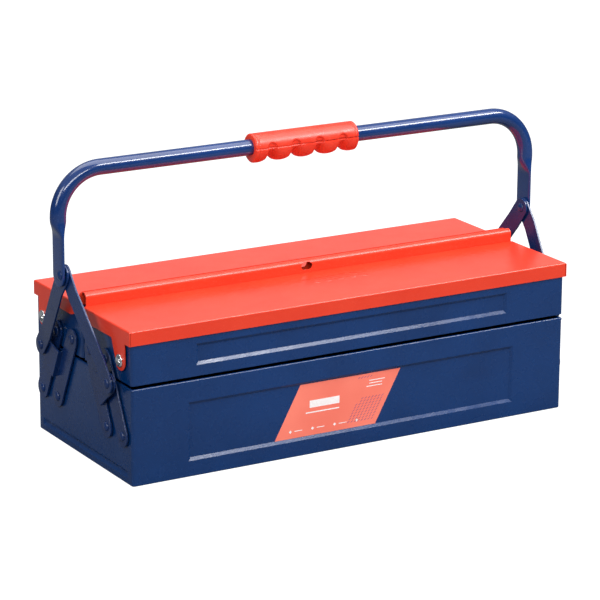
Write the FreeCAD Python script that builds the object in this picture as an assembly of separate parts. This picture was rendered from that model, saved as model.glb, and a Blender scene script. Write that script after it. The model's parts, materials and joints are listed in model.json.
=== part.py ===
"""Cantilever toolbox: a pressed-steel base, two trays on swinging links, two hinged lids and a bail handle.

Frame: +X to the right end, -Y to the front, +Z up, origin at the middle of the base's underside.
The box is closed and its handle stands upright. All sizes are in millimetres.
"""
import FreeCAD
import Part
import math
import os

os.makedirs("parts", exist_ok=True)
V = FreeCAD.Vector

# ---------------------------------------------------------------- driving dimensions
box_length = 495.0            # over the end walls of the base and the trays
box_depth = 206.0             # over the front and rear walls
base_height = 97.0
tray_height = 52.8
sheet = 1.0                   # steel sheet of the base, trays and lids
corner_radius = 3.0           # upright corners
foot_radius = 0.9             # bend between the walls and the bottom
rim_radius = 1.6              # rolled top edge of the base
seam_gap = 3.6                # between the base's rim and the trays
tray_gap = 3.0                # between the two trays

# pressed panels
base_panel_length = 374.0
base_panel_bottom = 16.0
base_panel_height = 59.5
tray_panel_length = 356.0
tray_panel_bottom = 10.9      # above the tray's underside
tray_panel_height = 21.5
panel_depth = 2.0
panel_bevel = 3.0
panel_back_growth = 0.6       # how far a panel's back is wider than its front, on each side
end_groove_length = 186.0
end_groove_bottom = 6.3
end_groove_height = 7.4

# lids
lid_end_overhang = 2.5        # lid's end flange outside the tray's end wall
lid_side_overhang = 1.25      # lid's long flange outside the tray's long wall
lid_clearance = 0.6           # between the tray's rim and the lid's sheet
lid_flange = 14.5
lid_edge_radius = 1.8
front_lid_setback = 7.0       # front lid's inner edge, in front of the middle
rear_lid_setback = 3.7        # rear lid's inner edge, behind the middle
flange_cut_length = 19.0      # curved inner end of each end flange
flange_cut_rise = 11.5
flange_slit = 0.5             # between the long flange and an end flange
lip_height = 13.0             # rolled lip over the lid's top
lip_radius = 5.0
lip_end_angle = 15.0          # where the roll stops, above level
lip_end_inset = 3.0
rear_lip_height = 12.3
rear_lip_corner = 6.0
lock_slot_length = 12.6
lock_slot_height = 7.9
lock_slot_rise = 3.2          # slot's bottom above the lid's top

# lid hinges
hinge_from_side = 19.0        # lid hinge behind the tray's long wall
hinge_above_tray = 21.4
hinge_tab_radius = 9.8
hinge_tab_root = 28.0
hinge_head_radius = 6.5
hinge_ring_edge = 0.9         # rounding of the ring's outer edge
hinge_tail_radius = 5.2       # tail inside the wall, and shoulder between the wall and the tab
hinge_shank_radius = 3.2
hinge_bore_radius = 2.0
lid_swing_clearance = 0.9     # between the lid's swinging top and the tray's trimmed rim

# links
link_width = 21.0
strip = 2.0                   # thickness of links and arms
upper_pivots_inwards = 0.75   # the upper pivots' mid-point, inwards from the middle of their room
outer_pivot_from_side = 16.0
pivot_spacing = 33.3
base_pivot_below_rim = 49.8
tray_pivot_above_bottom = 14.6
ear_offset = 3.55             # between a link's strip and its ear
ear_along = 36.2              # arm pivot on the ear, along the link from its lower pivot
ear_out = 39.3                # and square to the link
ear_radius = 10.0
ear_root_low = 20.0
ear_root_high = 52.6
ear_low_tangent = 11.5        # where the ear's straight sides meet its round end, in degrees
ear_high_tangent = 17.5

# rivets and running fits
shank_radius = 3.0
head_radius = 5.0
head_height = 2.0
tail_height = 1.2
spacer = 1.0                  # shoulder between a wall and a link
fit = 0.08                    # radial play of a pivot
play = 0.15                   # side play of a pivoted strip

# arms and handle
arm_width = 20.0
apex_rise = 90.7              # handle pivot above the arm's lower pivot
arm_pad = 21.0                # flat end of an arm
apex_inner = 4.0              # inner arm's upper end, outside its lower end
layer_gap = 0.4
tube_radius = 8.0
tube_wall = 1.2
flat_thickness = 3.2
flat_width = 23.0
flat_set_back = 4.5           # tube's middle behind the pivot
flat_above_pivot = 36.0
flat_below_pivot = 1.0        # centre of the flat's round end
swage_length = 18.0           # from the flat to the round tube
bail_height = 101.0           # tube's middle over the pivot
bail_bend = 45.0

# grip
grip_length = 118.0
grip_radius = 13.5
lobe_depth = 16.0
groove_depth = 10.4
lobe_count = 5
lobe_pitch = 27.0
lobe_width = 17.3             # each lobe's arc; the grooves take the rest of the pitch
grip_slit = 1.2
grip_fit = 0.1

# label
label_width = 115.0
label_shear = 28.9            # how far its top is shifted to the right of its bottom
label_thickness = 0.2
label_left = -90.7            # its lower left corner

# ---------------------------------------------------------------- derived places
half_length = box_length / 2
half_depth = box_depth / 2
tray_bottom = base_height + seam_gap
tray_top = tray_bottom + tray_height
lid_top = tray_top + lid_clearance + sheet
lid_half_length = half_length + lid_end_overhang
lid_half_depth = half_depth + lid_side_overhang

outer_y = half_depth - outer_pivot_from_side
inner_y = outer_y - pivot_spacing
# the links' upper ends share the room between the lid's hinge tab and the middle of the box
upper_room = half_depth - hinge_from_side - hinge_tab_radius
outer_top_y = upper_room / 2 - upper_pivots_inwards + pivot_spacing / 2
link_lean = outer_y - outer_top_y
base_pivot_z = base_height - base_pivot_below_rim
tray_pivot_z = tray_bottom + tray_pivot_above_bottom
link_rise = tray_pivot_z - base_pivot_z
link_length = math.hypot(link_lean, link_rise)
hinge_y = half_depth - hinge_from_side
hinge_z = tray_bottom + hinge_above_tray

# cutting tools pass the faces that they cut by this much
through = 3 * sheet
same = 0.01                   # closer than this is the same place

# directions on the front side: along a link from its lower pivot, and square to it towards the front
along = (link_lean / link_length, link_rise / link_length)
outward = (-along[1], along[0])
arm_foot_y = -inner_y + ear_along * along[0] + ear_out * outward[0]
arm_foot_z = base_pivot_z + ear_along * along[1] + ear_out * outward[1]
apex_z = arm_foot_z + apex_rise
arm_length = math.hypot(arm_foot_y, apex_rise)

# layers outside each end, measured from the middle of the box
link_x = half_length + spacer + play
ear_x = link_x + strip + ear_offset
arm_x = ear_x + strip + spacer
apex_inner_x = arm_x + strip + apex_inner
apex_outer_x = apex_inner_x + strip + layer_gap
flat_x = apex_outer_x + strip + layer_gap + play
tube_x = flat_x + flat_thickness / 2
bail_z = apex_z + bail_height


# ---------------------------------------------------------------- helpers
def box(x0, x1, y0, y1, z0, z1):
    return Part.makeBox(x1 - x0, y1 - y0, z1 - z0, V(x0, y0, z0))


def rod(x0, x1, y, z, radius):
    """A round bar along X."""
    return Part.makeCylinder(radius, x1 - x0, V(x0, y, z), V(1, 0, 0))


def prism_x(points, x0, x1):
    """A polygon of (y, z) points, as thick as x0 to x1."""
    corners = [V(x0, y, z) for y, z in points]
    face = Part.Face(Part.makePolygon(corners + corners[:1]))
    return face.extrude(V(x1 - x0, 0, 0))


def to_rear(shape):
    """The same piece on the other long side."""
    return shape.mirror(V(0, 0, 0), V(0, 1, 0))


def to_right(shape):
    """The same piece on the other end."""
    return shape.mirror(V(0, 0, 0), V(1, 0, 0))


def half_turn(shape):
    turned = shape.copy()
    turned.rotate(V(0, 0, 0), V(0, 0, 1), 180)
    return turned


def fuse(shapes):
    return shapes[0].multiFuse(shapes[1:]).removeSplitter()


def group(shapes):
    return Part.makeCompound(shapes)


def frustum(place, u0, u1, v0, v1, w0, w1, inset):
    """A four-sided block from w0 to w1, narrower by inset all round at w1."""
    wires = []
    for w, cut in ((w0, 0.0), (w1, inset)):
        corners = [(u0 + cut, v0 + cut), (u1 - cut, v0 + cut), (u1 - cut, v1 - cut), (u0 + cut, v1 - cut)]
        points = [place(u, v, w) for u, v in corners]
        wires.append(Part.makePolygon(points + points[:1]))
    return Part.makeLoft(wires, True, True)


def press(shell, place, wall, inwards, u0, u1, v0, v1, depth, bevel):
    """Push a flat-bottomed panel into a wall, with the sheet's thickness kept behind it."""
    middle = sheet / 2
    back = panel_back_growth
    behind = frustum(place, u0 - back, u1 + back, v0 - back, v1 + back,
                     wall + inwards * middle, wall + inwards * (depth + sheet), bevel)
    # the hollow's slope is carried on outwards past the wall's face
    grow = bevel / depth * middle
    hollow = frustum(place, u0 - grow, u1 + grow, v0 - grow, v1 + grow,
                     wall - inwards * middle, wall + inwards * depth, bevel + grow)
    return shell.fuse(behind).cut(hollow)


def long_wall(u, v, w):
    return V(u, w, v)


def end_wall(u, v, w):
    return V(w, u, v)


def upright_edges(shape):
    return [e for e in shape.Edges if abs(e.Vertexes[0].Z - e.Vertexes[-1].Z) > e.Length - same]


def open_box(x0, x1, y0, y1, z0, z1):
    """A sheet-metal tray, open at the top, with rounded upright corners."""
    outer = box(x0, x1, y0, y1, z0, z1)
    outer = outer.makeFillet(corner_radius, upright_edges(outer))
    inner = box(x0 + sheet, x1 - sheet, y0 + sheet, y1 - sheet, z0 + sheet, z1 + sheet)
    inner = inner.makeFillet(corner_radius - sheet, upright_edges(inner))
    return outer.cut(inner)


def stadium(p, q, radius, x0, x1):
    """A strip with round ends between two (y, z) centres, as thick as x0 to x1."""
    length = math.hypot(q[0] - p[0], q[1] - p[1])
    dy = (q[0] - p[0]) / length * radius
    dz = (q[1] - p[1]) / length * radius
    sides = [(p[0] - dz, p[1] + dy), (q[0] - dz, q[1] + dy), (q[0] + dz, q[1] - dy), (p[0] + dz, p[1] - dy)]
    ends = [rod(x0, x1, p[0], p[1], radius), rod(x0, x1, q[0], q[1], radius)]
    return fuse([prism_x(sides, x0, x1)] + ends)


def dome(x, y, z, radius, height):
    """A rivet's domed head, standing in +X from x."""
    ball = (radius ** 2 + height ** 2) / (2 * height)
    sphere = Part.makeSphere(ball, V(x + height - ball, y, z))
    return sphere.common(rod(x, x + height + sheet, y, z, radius + sheet))


def rivet(wall_in, wall_out, head_x, y, z):
    """A shouldered rivet: tail inside a wall, spacer outside it, and a domed head."""
    tail = rod(wall_in - tail_height, wall_in, y, z, head_radius)
    shank = rod(wall_in - tail_height, head_x, y, z, shank_radius)
    shoulder = rod(wall_out, wall_out + spacer, y, z, head_radius)
    return fuse([tail, shank, shoulder, dome(head_x, y, z, head_radius, head_height)])


# ---------------------------------------------------------------- base
def base_shell():
    shell = open_box(-half_length, half_length, -half_depth, half_depth, 0, base_height - rim_radius)
    bottom = [e for e in shell.Edges if e.BoundBox.ZMax < same]
    shell = shell.makeFillet(foot_radius, bottom)
    # rolled rim along the four top edges
    reach = half_length - rim_radius
    depth = half_depth - rim_radius
    level = base_height - rim_radius
    for sign in (-1, 1):
        shell = shell.fuse(rod(-reach, reach, sign * depth, level, rim_radius))
        along_y = Part.makeCylinder(rim_radius, 2 * depth, V(sign * reach, -depth, level), V(0, 1, 0))
        shell = shell.fuse(along_y)
        for other in (-1, 1):
            shell = shell.fuse(Part.makeSphere(rim_radius, V(sign * reach, other * depth, level)))
    panel_top = base_panel_bottom + base_panel_height
    panel = base_panel_length / 2
    groove = end_groove_length / 2
    groove_top = end_groove_bottom + end_groove_height
    for sign in (-1, 1):
        shell = press(shell, long_wall, sign * half_depth, -sign, -panel, panel,
                      base_panel_bottom, panel_top, panel_depth, panel_bevel)
        shell = press(shell, end_wall, sign * half_length, -sign, -groove, groove,
                      end_groove_bottom, groove_top, panel_depth, panel_bevel)
        # rivet holes through both ends
        for y in (-outer_y, -inner_y, inner_y, outer_y):
            wall_x = sign * half_length
            shell = shell.cut(rod(wall_x - through, wall_x + through, y, base_pivot_z, shank_radius))
    return shell.removeSplitter()


def base_rivets():
    head_x = link_x + strip + play
    right = [rivet(half_length - sheet, half_length, head_x, y, base_pivot_z)
             for y in (-outer_y, -inner_y, inner_y, outer_y)]
    return group(right + [to_right(r) for r in right])


def label():
    """A slanted sticker on the flat of the base's front panel."""
    face_y = -half_depth + panel_depth
    low = base_panel_bottom + panel_bevel
    high = base_panel_bottom + base_panel_height - panel_bevel
    right = label_left + label_width
    corners = [(label_left, low), (right, low),
               (right + label_shear, high), (label_left + label_shear, high)]
    points = [V(x, face_y, z) for x, z in corners]
    return Part.Face(Part.makePolygon(points + points[:1])).extrude(V(0, -label_thickness, 0))


# ---------------------------------------------------------------- trays
def front_tray():
    """The tray is one pressed sheet; it is written as its flat floor and its ring of walls."""
    shell = open_box(-half_length, half_length, -half_depth, -tray_gap / 2, tray_bottom, tray_top)
    low = tray_bottom + tray_panel_bottom
    shell = press(shell, long_wall, -half_depth, 1, -tray_panel_length / 2, tray_panel_length / 2,
                  low, low + tray_panel_height, panel_depth, panel_bevel)
    # the outer wall and its corners are cut down, so that the lid's top can swing over them
    swing = lid_top - sheet - lid_swing_clearance - hinge_z
    reach = half_length + sheet
    trim_low = hinge_z + swing / 2
    corner = box(-reach, reach, -half_depth - sheet, -hinge_y, trim_low, tray_top + sheet)
    shell = shell.cut(corner.cut(rod(-reach, reach, -hinge_y, hinge_z, swing)))
    holes = [(-outer_y + link_lean, tray_pivot_z, shank_radius),
             (-inner_y + link_lean, tray_pivot_z, shank_radius),
             (-hinge_y, hinge_z, hinge_shank_radius)]
    for y, z, radius in holes:
        for wall_x in (-half_length, half_length):
            shell = shell.cut(rod(wall_x - through, wall_x + through, y, z, radius))
    return shell.removeSplitter()


def front_tray_rivets():
    head_x = link_x + strip + play
    right = [rivet(half_length - sheet, half_length, head_x, y + link_lean, tray_pivot_z)
             for y in (-outer_y, -inner_y)]
    return group(right + [to_right(r) for r in right])


def front_hinge_rivets():
    """Hollow rivets, closed over a flat ring on the outside."""
    inside = half_length - sheet
    tab_out = lid_half_length
    outer_face = tab_out + play
    ring = rod(outer_face, outer_face + head_height, -hinge_y, hinge_z, hinge_head_radius)
    rim = [e for e in ring.Edges if abs(e.BoundBox.XMin - outer_face - head_height) < same and e.Closed]
    ring = ring.makeFillet(hinge_ring_edge, rim)
    shoulder = rod(half_length, tab_out - sheet - play, -hinge_y, hinge_z, hinge_tail_radius)
    shank = rod(inside - tail_height, outer_face, -hinge_y, hinge_z, hinge_shank_radius)
    tail = rod(inside - tail_height, inside, -hinge_y, hinge_z, hinge_tail_radius)
    bore = rod(inside - tail_height - through, outer_face + head_height + through,
               -hinge_y, hinge_z, hinge_bore_radius)
    right = fuse([ring, shoulder, shank, tail]).cut(bore)
    return group([right, to_right(right)])


# ---------------------------------------------------------------- lids
def lid_blank(setback):
    """Flat top with a long flange and two end flanges, for the front side."""
    low = lid_top - lid_flange
    outer = box(-lid_half_length, lid_half_length, -lid_half_depth, -setback, low, lid_top)
    top_edges = [e for e in outer.Edges
                 if e.BoundBox.ZMin > lid_top - same and e.BoundBox.YMin < -setback - same]
    outer = outer.makeFillet(lid_edge_radius, top_edges)
    inner = box(-lid_half_length + sheet, lid_half_length - sheet,
                -lid_half_depth + sheet, -setback + sheet, low - sheet, lid_top - sheet)
    blank = outer.cut(inner)
    # curved inner ends of the end flanges
    radius = (flange_cut_length ** 2 + flange_cut_rise ** 2) / (2 * flange_cut_rise)
    end_y = -setback - sheet
    reach = lid_half_length + sheet
    curve = rod(-reach, reach, end_y - flange_cut_length, low + radius, radius)
    corner = box(-reach, reach, end_y - flange_cut_length, -setback + sheet, low - sheet, lid_top - sheet)
    blank = blank.cut(corner.cut(curve))
    # tapered hinge tabs below the end flanges
    root = low + sheet
    tab = [
        (-hinge_y - hinge_tab_radius, hinge_z),
        (-hinge_y + hinge_tab_radius, hinge_z),
        (-hinge_y - hinge_tab_radius + hinge_tab_root, root),
        (-hinge_y - hinge_tab_radius, root),
    ]
    plates = []
    for x0 in (-lid_half_length, lid_half_length - sheet):
        x1 = x0 + sheet
        plate = prism_x(tab, x0, x1).fuse(rod(x0, x1, -hinge_y, hinge_z, hinge_tab_radius))
        plates.append(plate.cut(rod(x0 - sheet, x1 + sheet, -hinge_y, hinge_z, hinge_shank_radius + fit)))
    # slits where the long flange meets the end flanges
    for x0 in (-lid_half_length + sheet, lid_half_length - sheet - flange_slit):
        blank = blank.cut(box(x0, x0 + flange_slit, -lid_half_depth - sheet, -lid_half_depth + 2 * sheet,
                              low - sheet, lid_top - sheet))
    return fuse([blank] + plates)


def lock_slot():
    low = lid_top + lock_slot_rise
    radius = lock_slot_height / 2
    flat = lock_slot_length / 2 - radius
    middle = low + radius
    depth = front_lid_setback + rear_lid_setback + 2 * through
    start = V(-flat, -front_lid_setback - through, middle)
    ends = [Part.makeCylinder(radius, depth, start + V(dx, 0, 0), V(0, 1, 0)) for dx in (0, 2 * flat)]
    body = box(-flat, flat, start.y, start.y + depth, low, low + lock_slot_height)
    return fuse([body] + ends)


def split_at(shape, z):
    """The parts of a shape below and above a level."""
    bounds = shape.BoundBox
    upper = box(bounds.XMin - through, bounds.XMax + through, bounds.YMin - through, bounds.YMax + through,
                z, bounds.ZMax + through)
    return shape.cut(upper), shape.common(upper)


def lid_pieces(blank, lip):
    """A lid's flat top, long flange, two end flanges and lip: one pressed sheet, divided at its bends."""
    flanges, top = split_at(blank, lid_top - sheet)
    ends_first = sorted(flanges.Solids, key=lambda solid: solid.BoundBox.XLength)
    long_flange = ends_first.pop()
    return {"top": top, "long_flange": long_flange, "end_flanges": group(ends_first),
            "lip": lip.cut(lock_slot())}


def front_lid():
    blank = lid_blank(front_lid_setback)
    # rolled lip: up from the inner edge and over towards the rear
    face_y = -front_lid_setback
    centre = (face_y + lip_radius, lid_top + lip_height - lip_radius)
    last = math.radians(lip_end_angle)

    def at(radius, angle):
        return V(0, centre[0] + radius * math.cos(angle), centre[1] + radius * math.sin(angle))

    inner_radius = lip_radius - sheet
    middle_angle = (math.pi + last) / 2
    edges = [
        Part.LineSegment(V(0, face_y, lid_top - sheet), at(lip_radius, math.pi)),
        Part.Arc(at(lip_radius, math.pi), at(lip_radius, middle_angle), at(lip_radius, last)),
        Part.LineSegment(at(lip_radius, last), at(inner_radius, last)),
        Part.Arc(at(inner_radius, last), at(inner_radius, middle_angle), at(inner_radius, math.pi)),
        Part.LineSegment(at(inner_radius, math.pi), V(0, face_y + sheet, lid_top - sheet)),
        Part.LineSegment(V(0, face_y + sheet, lid_top - sheet), V(0, face_y, lid_top - sheet)),
    ]
    section = Part.Face(Part.Wire([e.toShape() for e in edges]))
    reach = lid_half_length - lip_end_inset
    section.translate(V(-reach, 0, 0))
    return lid_pieces(blank, section.extrude(V(2 * reach, 0, 0)))


def rear_lid():
    blank = to_rear(lid_blank(rear_lid_setback))
    reach = lid_half_length - sheet / 2
    lip = box(-reach, reach, rear_lid_setback, rear_lid_setback + sheet, lid_top, lid_top + rear_lip_height)
    corners = [e for e in lip.Edges if e.BoundBox.ZMin > lid_top + sheet
               and e.BoundBox.XLength < same and e.BoundBox.YLength > same]
    return lid_pieces(blank, lip.makeFillet(rear_lip_corner, corners))


# ---------------------------------------------------------------- links, at the front of the right end
def drilled(shape, places, radius, x0, x1):
    for y, z in places:
        shape = shape.cut(rod(x0 - strip, x1 + strip, y, z, radius))
    return shape


def outer_link():
    low = (-outer_y, base_pivot_z)
    high = (-outer_y + link_lean, tray_pivot_z)
    bar = stadium(low, high, link_width / 2, link_x, link_x + strip)
    return drilled(bar, (low, high), shank_radius + fit, link_x, link_x + strip)


def on_link(s, d):
    """A (y, z) place s along the inner link from its lower pivot and d square to it."""
    y = -inner_y + s * along[0] + d * outward[0]
    z = base_pivot_z + s * along[1] + d * outward[1]
    return (y, z)


def inner_link():
    """A strip whose outer edge steps out into an ear that carries the arm."""
    low = on_link(0, 0)
    high = on_link(link_length, 0)
    bar = stadium(low, high, link_width / 2, link_x, link_x + strip)
    edge = link_width / 2
    web_in = edge - strip
    web = prism_x([on_link(ear_root_low, web_in), on_link(ear_root_high, web_in),
                   on_link(ear_root_high - strip / 2, edge), on_link(ear_root_low + strip / 2, edge)],
                  link_x, ear_x + strip)
    foot = on_link(ear_along, ear_out)
    low_turn = math.radians(ear_low_tangent)
    high_turn = math.radians(ear_high_tangent)
    outline = [
        on_link(ear_root_low, web_in),
        on_link(ear_along - ear_radius * math.cos(low_turn), ear_out + ear_radius * math.sin(low_turn)),
        on_link(ear_along + ear_radius * math.cos(high_turn), ear_out + ear_radius * math.sin(high_turn)),
        on_link(ear_root_high, web_in),
    ]
    ear = prism_x(outline, ear_x, ear_x + strip)
    ear = ear.fuse(rod(ear_x, ear_x + strip, foot[0], foot[1], ear_radius))
    link = fuse([bar, web, ear])
    link = drilled(link, (low, high), shank_radius + fit, link_x, link_x + strip)
    return drilled(link, (foot,), shank_radius, ear_x, ear_x + strip)


def ear_rivet():
    y, z = arm_foot_y, arm_foot_z
    head_x = arm_x + strip + play
    tail = rod(ear_x - tail_height, ear_x, y, z, head_radius)
    shank = rod(ear_x - tail_height, head_x, y, z, shank_radius)
    shoulder = rod(ear_x + strip, arm_x - play, y, z, head_radius)
    return fuse([tail, shank, shoulder, dome(head_x, y, z, head_radius, head_height)])


# ---------------------------------------------------------------- arms, at the front of the right end
def arm(upper_x):
    """A flat strip from the ear up to the handle's pivot, stepped outwards between its flat ends."""
    foot = (arm_foot_y, arm_foot_z)
    apex = (0.0, apex_z)
    length = arm_length
    reach = arm_width / 2
    steps = [(-reach, arm_x), (arm_pad, arm_x), (length - arm_pad, upper_x), (length + reach, upper_x)]
    outline = steps + [(t, x + strip) for t, x in reversed(steps)]
    # drawn in a plane that holds the arm's length and the box's X, then extruded over its width
    uy, uz = (apex[0] - foot[0]) / length, (apex[1] - foot[1]) / length
    corners = [V(x, foot[0] + t * uy - reach * uz, foot[1] + t * uz + reach * uy) for t, x in outline]
    bent = Part.Face(Part.makePolygon(corners + corners[:1])).extrude(V(0, arm_width * uz, -arm_width * uy))
    shape = bent.common(stadium(foot, apex, reach, arm_x - strip, upper_x + 2 * strip))
    shape = drilled(shape, (foot,), shank_radius + fit, arm_x, arm_x + strip)
    return drilled(shape, (apex,), shank_radius + fit, upper_x, upper_x + strip)


def apex_pin(x0, x1, inner_head, outer_head):
    """A length of the handle's pivot between x0 and x1, with a head at either end if wanted."""
    pieces = [rod(x0, x1, 0, apex_z, shank_radius)]
    if inner_head:
        pieces.append(to_right(dome(-x0, 0, apex_z, head_radius, head_height)))
    if outer_head:
        pieces.append(dome(x1, 0, apex_z, head_radius, head_height))
    return fuse(pieces)


def handle_pins():
    """The headed length of the pivot through each flattened end of the handle."""
    right = apex_pin(flat_x - play, flat_x + flat_thickness + play, False, True)
    return group([right, to_right(right)])


def arm_studs():
    """The front arms' lengths of the pivot: a plain one in the outer arm, a headed one in the inner arm."""
    right = apex_pin(apex_outer_x, apex_outer_x + strip, False, False)
    left = apex_pin(apex_inner_x - play, apex_inner_x + strip, True, False)
    return group([right, to_right(left)])


# ---------------------------------------------------------------- handle
def ring_face(place, direction):
    """The tube's cross-section."""
    discs = [Part.Face(Part.Wire([Part.makeCircle(radius, place, direction)]))
             for radius in (tube_radius, tube_radius - tube_wall)]
    return discs[0].cut(discs[1]).Faces[0]


def bent_tube(start_z):
    """The round part of the handle: a leg and a bend at each end, and the bar between them."""
    y = flat_set_back
    knee_z = bail_z - bail_bend
    reach = tube_x - bail_bend
    leg = ring_face(V(tube_x, y, start_z), V(0, 0, 1)).extrude(V(0, 0, knee_z - start_z))
    knee = ring_face(V(tube_x, y, knee_z), V(0, 0, 1)).revolve(V(reach, y, knee_z), V(0, 1, 0), -90)
    bar = ring_face(V(-reach, y, bail_z), V(1, 0, 0)).extrude(V(2 * reach, 0, 0))
    return [leg, knee, bar, to_right(leg), to_right(knee)]


def flat_end():
    """The right leg's flattened end, and the swage from it up to the round tube."""
    y = flat_set_back
    flat_z = apex_z + flat_above_pivot
    round_z = flat_z + swage_length
    half_width = flat_width / 2
    plate = stadium((y, apex_z - flat_below_pivot), (y, flat_z), half_width,
                    flat_x, flat_x + flat_thickness)
    above = box(flat_x - through, flat_x + flat_thickness + through, y - flat_width, y + flat_width,
                flat_z, flat_z + flat_width)
    plate = plate.cut(above)
    edge_radius = flat_thickness / 2
    straight = half_width - edge_radius
    diagonal = tube_radius * math.sqrt(0.5)
    sections = []
    for z, dx, dy, reach_x, reach_y in (
        (flat_z, edge_radius, straight, edge_radius, half_width),
        (round_z, diagonal, diagonal, tube_radius, tube_radius),
    ):
        corners = [V(tube_x + i * dx, y + j * dy, z) for i, j in ((-1, -1), (-1, 1), (1, 1), (1, -1))]
        mids = [V(tube_x - reach_x, y, z), V(tube_x, y + reach_y, z),
                V(tube_x + reach_x, y, z), V(tube_x, y - reach_y, z)]
        edges = []
        for k in range(4):
            start, end = corners[k], corners[(k + 1) % 4]
            straight_side = z == flat_z and k % 2 == 0
            curve = Part.LineSegment(start, end) if straight_side else Part.Arc(start, mids[k], end)
            edges.append(curve.toShape())
        sections.append(Part.Wire(edges))
    return plate, Part.makeLoft(sections, True, False)


def handle_tube():
    plate, swage = flat_end()
    round_z = apex_z + flat_above_pivot + swage_length
    tube = fuse(bent_tube(round_z) + [plate, swage, to_right(plate), to_right(swage)])
    for sign in (-1, 1):
        start = sign * tube_x - flat_thickness
        tube = tube.cut(rod(start, start + 2 * flat_thickness, 0, apex_z, shank_radius + fit))
    return tube


def handle_grip():
    """Moulded grip: round over the top, with finger lobes below and a slit along its front."""
    y0, z0 = flat_set_back, bail_z
    half = grip_length / 2
    waist = (lobe_depth + groove_depth) / 2
    lobe_half = lobe_width / 2
    wide = half + lobe_pitch
    xs = [(i - (lobe_count - 1) / 2) * lobe_pitch for i in range(lobe_count)]
    top = z0 + grip_radius
    front = y0 - grip_radius - sheet
    edges = [Part.LineSegment(V(-wide, front, z0 - waist), V(-wide, front, top)).toShape(),
             Part.LineSegment(V(-wide, front, top), V(wide, front, top)).toShape(),
             Part.LineSegment(V(wide, front, top), V(wide, front, z0 - waist)).toShape()]
    last = V(-wide, front, z0 - waist)
    for i, x in enumerate(xs):
        start = V(x - lobe_half, front, z0 - waist)
        end = V(x + lobe_half, front, z0 - waist)
        if i == 0:
            edges.append(Part.LineSegment(last, start).toShape())
        else:
            edges.append(Part.Arc(last, V(x - lobe_pitch / 2, front, z0 - groove_depth), start).toShape())
        edges.append(Part.Arc(start, V(x, front, z0 - lobe_depth), end).toShape())
        last = end
    edges.append(Part.LineSegment(last, V(wide, front, z0 - waist)).toShape())
    outline = Part.Face(Part.Wire(Part.__sortEdges__(edges))).extrude(V(0, 2 * (grip_radius + sheet), 0))
    drop = lobe_depth - grip_radius
    section = fuse([rod(-half, half, y0, z0, grip_radius), rod(-half, half, y0, z0 - drop, grip_radius),
                    box(-half, half, y0 - grip_radius, y0 + grip_radius, z0 - drop, z0)])
    grip = section.common(outline)
    end = half + through
    grip = grip.cut(rod(-end, end, y0, z0, tube_radius + grip_fit))
    slit = box(-end, end, y0 - grip_radius - through, y0 - tube_radius + tube_wall,
               z0 - grip_slit / 2, z0 + grip_slit / 2)
    return grip.cut(slit)


# ---------------------------------------------------------------- write the parts
def write(name, shape):
    solids = shape.Solids
    if not solids or not all(s.isValid() for s in solids):
        raise ValueError("bad solid in " + name)
    shape = solids[0] if len(solids) == 1 else Part.makeCompound(solids)
    shape.exportStep("parts/" + name + ".step")
    print(name, len(solids), round(sum(s.Volume for s in solids)))


def main():
    write("base_shell", base_shell())
    write("base_link_rivets", base_rivets())
    write("front_label", label())
    tray = front_tray()
    tray_rivets = front_tray_rivets()
    hinge_rivets = front_hinge_rivets()
    rivet_on_ear = ear_rivet()
    for side, place in (("front", lambda s: s), ("rear", to_rear)):
        floor, walls = split_at(tray, tray_bottom + sheet)
        write(side + "_tray_floor", place(floor))
        write(side + "_tray_walls", place(walls))
        write(side + "_tray_link_rivets", place(tray_rivets))
        write(side + "_lid_hinge_rivets", place(hinge_rivets))
        write(side + "_right_outer_link", place(outer_link()))
        write(side + "_left_outer_link", place(to_right(outer_link())))
        write(side + "_right_inner_link", place(inner_link()))
        write(side + "_left_inner_link", place(to_right(inner_link())))
        write(side + "_arm_rivets", place(group([rivet_on_ear, to_right(rivet_on_ear)])))
    for side, pieces in (("front", front_lid()), ("rear", rear_lid())):
        for name, piece in pieces.items():
            write(side + "_lid_" + name, piece)
    # each end has one arm from either side; the ends are a half turn apart
    front_right = arm(apex_outer_x)
    rear_right = to_rear(arm(apex_inner_x))
    write("front_right_arm", front_right)
    write("rear_right_arm", rear_right)
    write("front_left_arm", half_turn(rear_right))
    write("rear_left_arm", half_turn(front_right))
    write("handle_pivot_pins", handle_pins())
    write("front_arm_studs", arm_studs())
    write("rear_arm_studs", half_turn(arm_studs()))
    write("handle_tube", handle_tube())
    write("handle_grip", handle_grip())


main()
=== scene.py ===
# %% [markdown]
# # A cantilever toolbox
# Two trays swing out of a deep base on painted links, and each tray has its own lid.
# The engineering model already holds every size and every pivot, so it is loaded first and left as it is.
# What is added here is the finish: eased sheet-metal edges, paint, rivets, the moulded grip and the label.

# %% Load the frame
import json
import math

import bmesh
import bpy
from mathutils import Matrix, Quaternion, Vector


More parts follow.
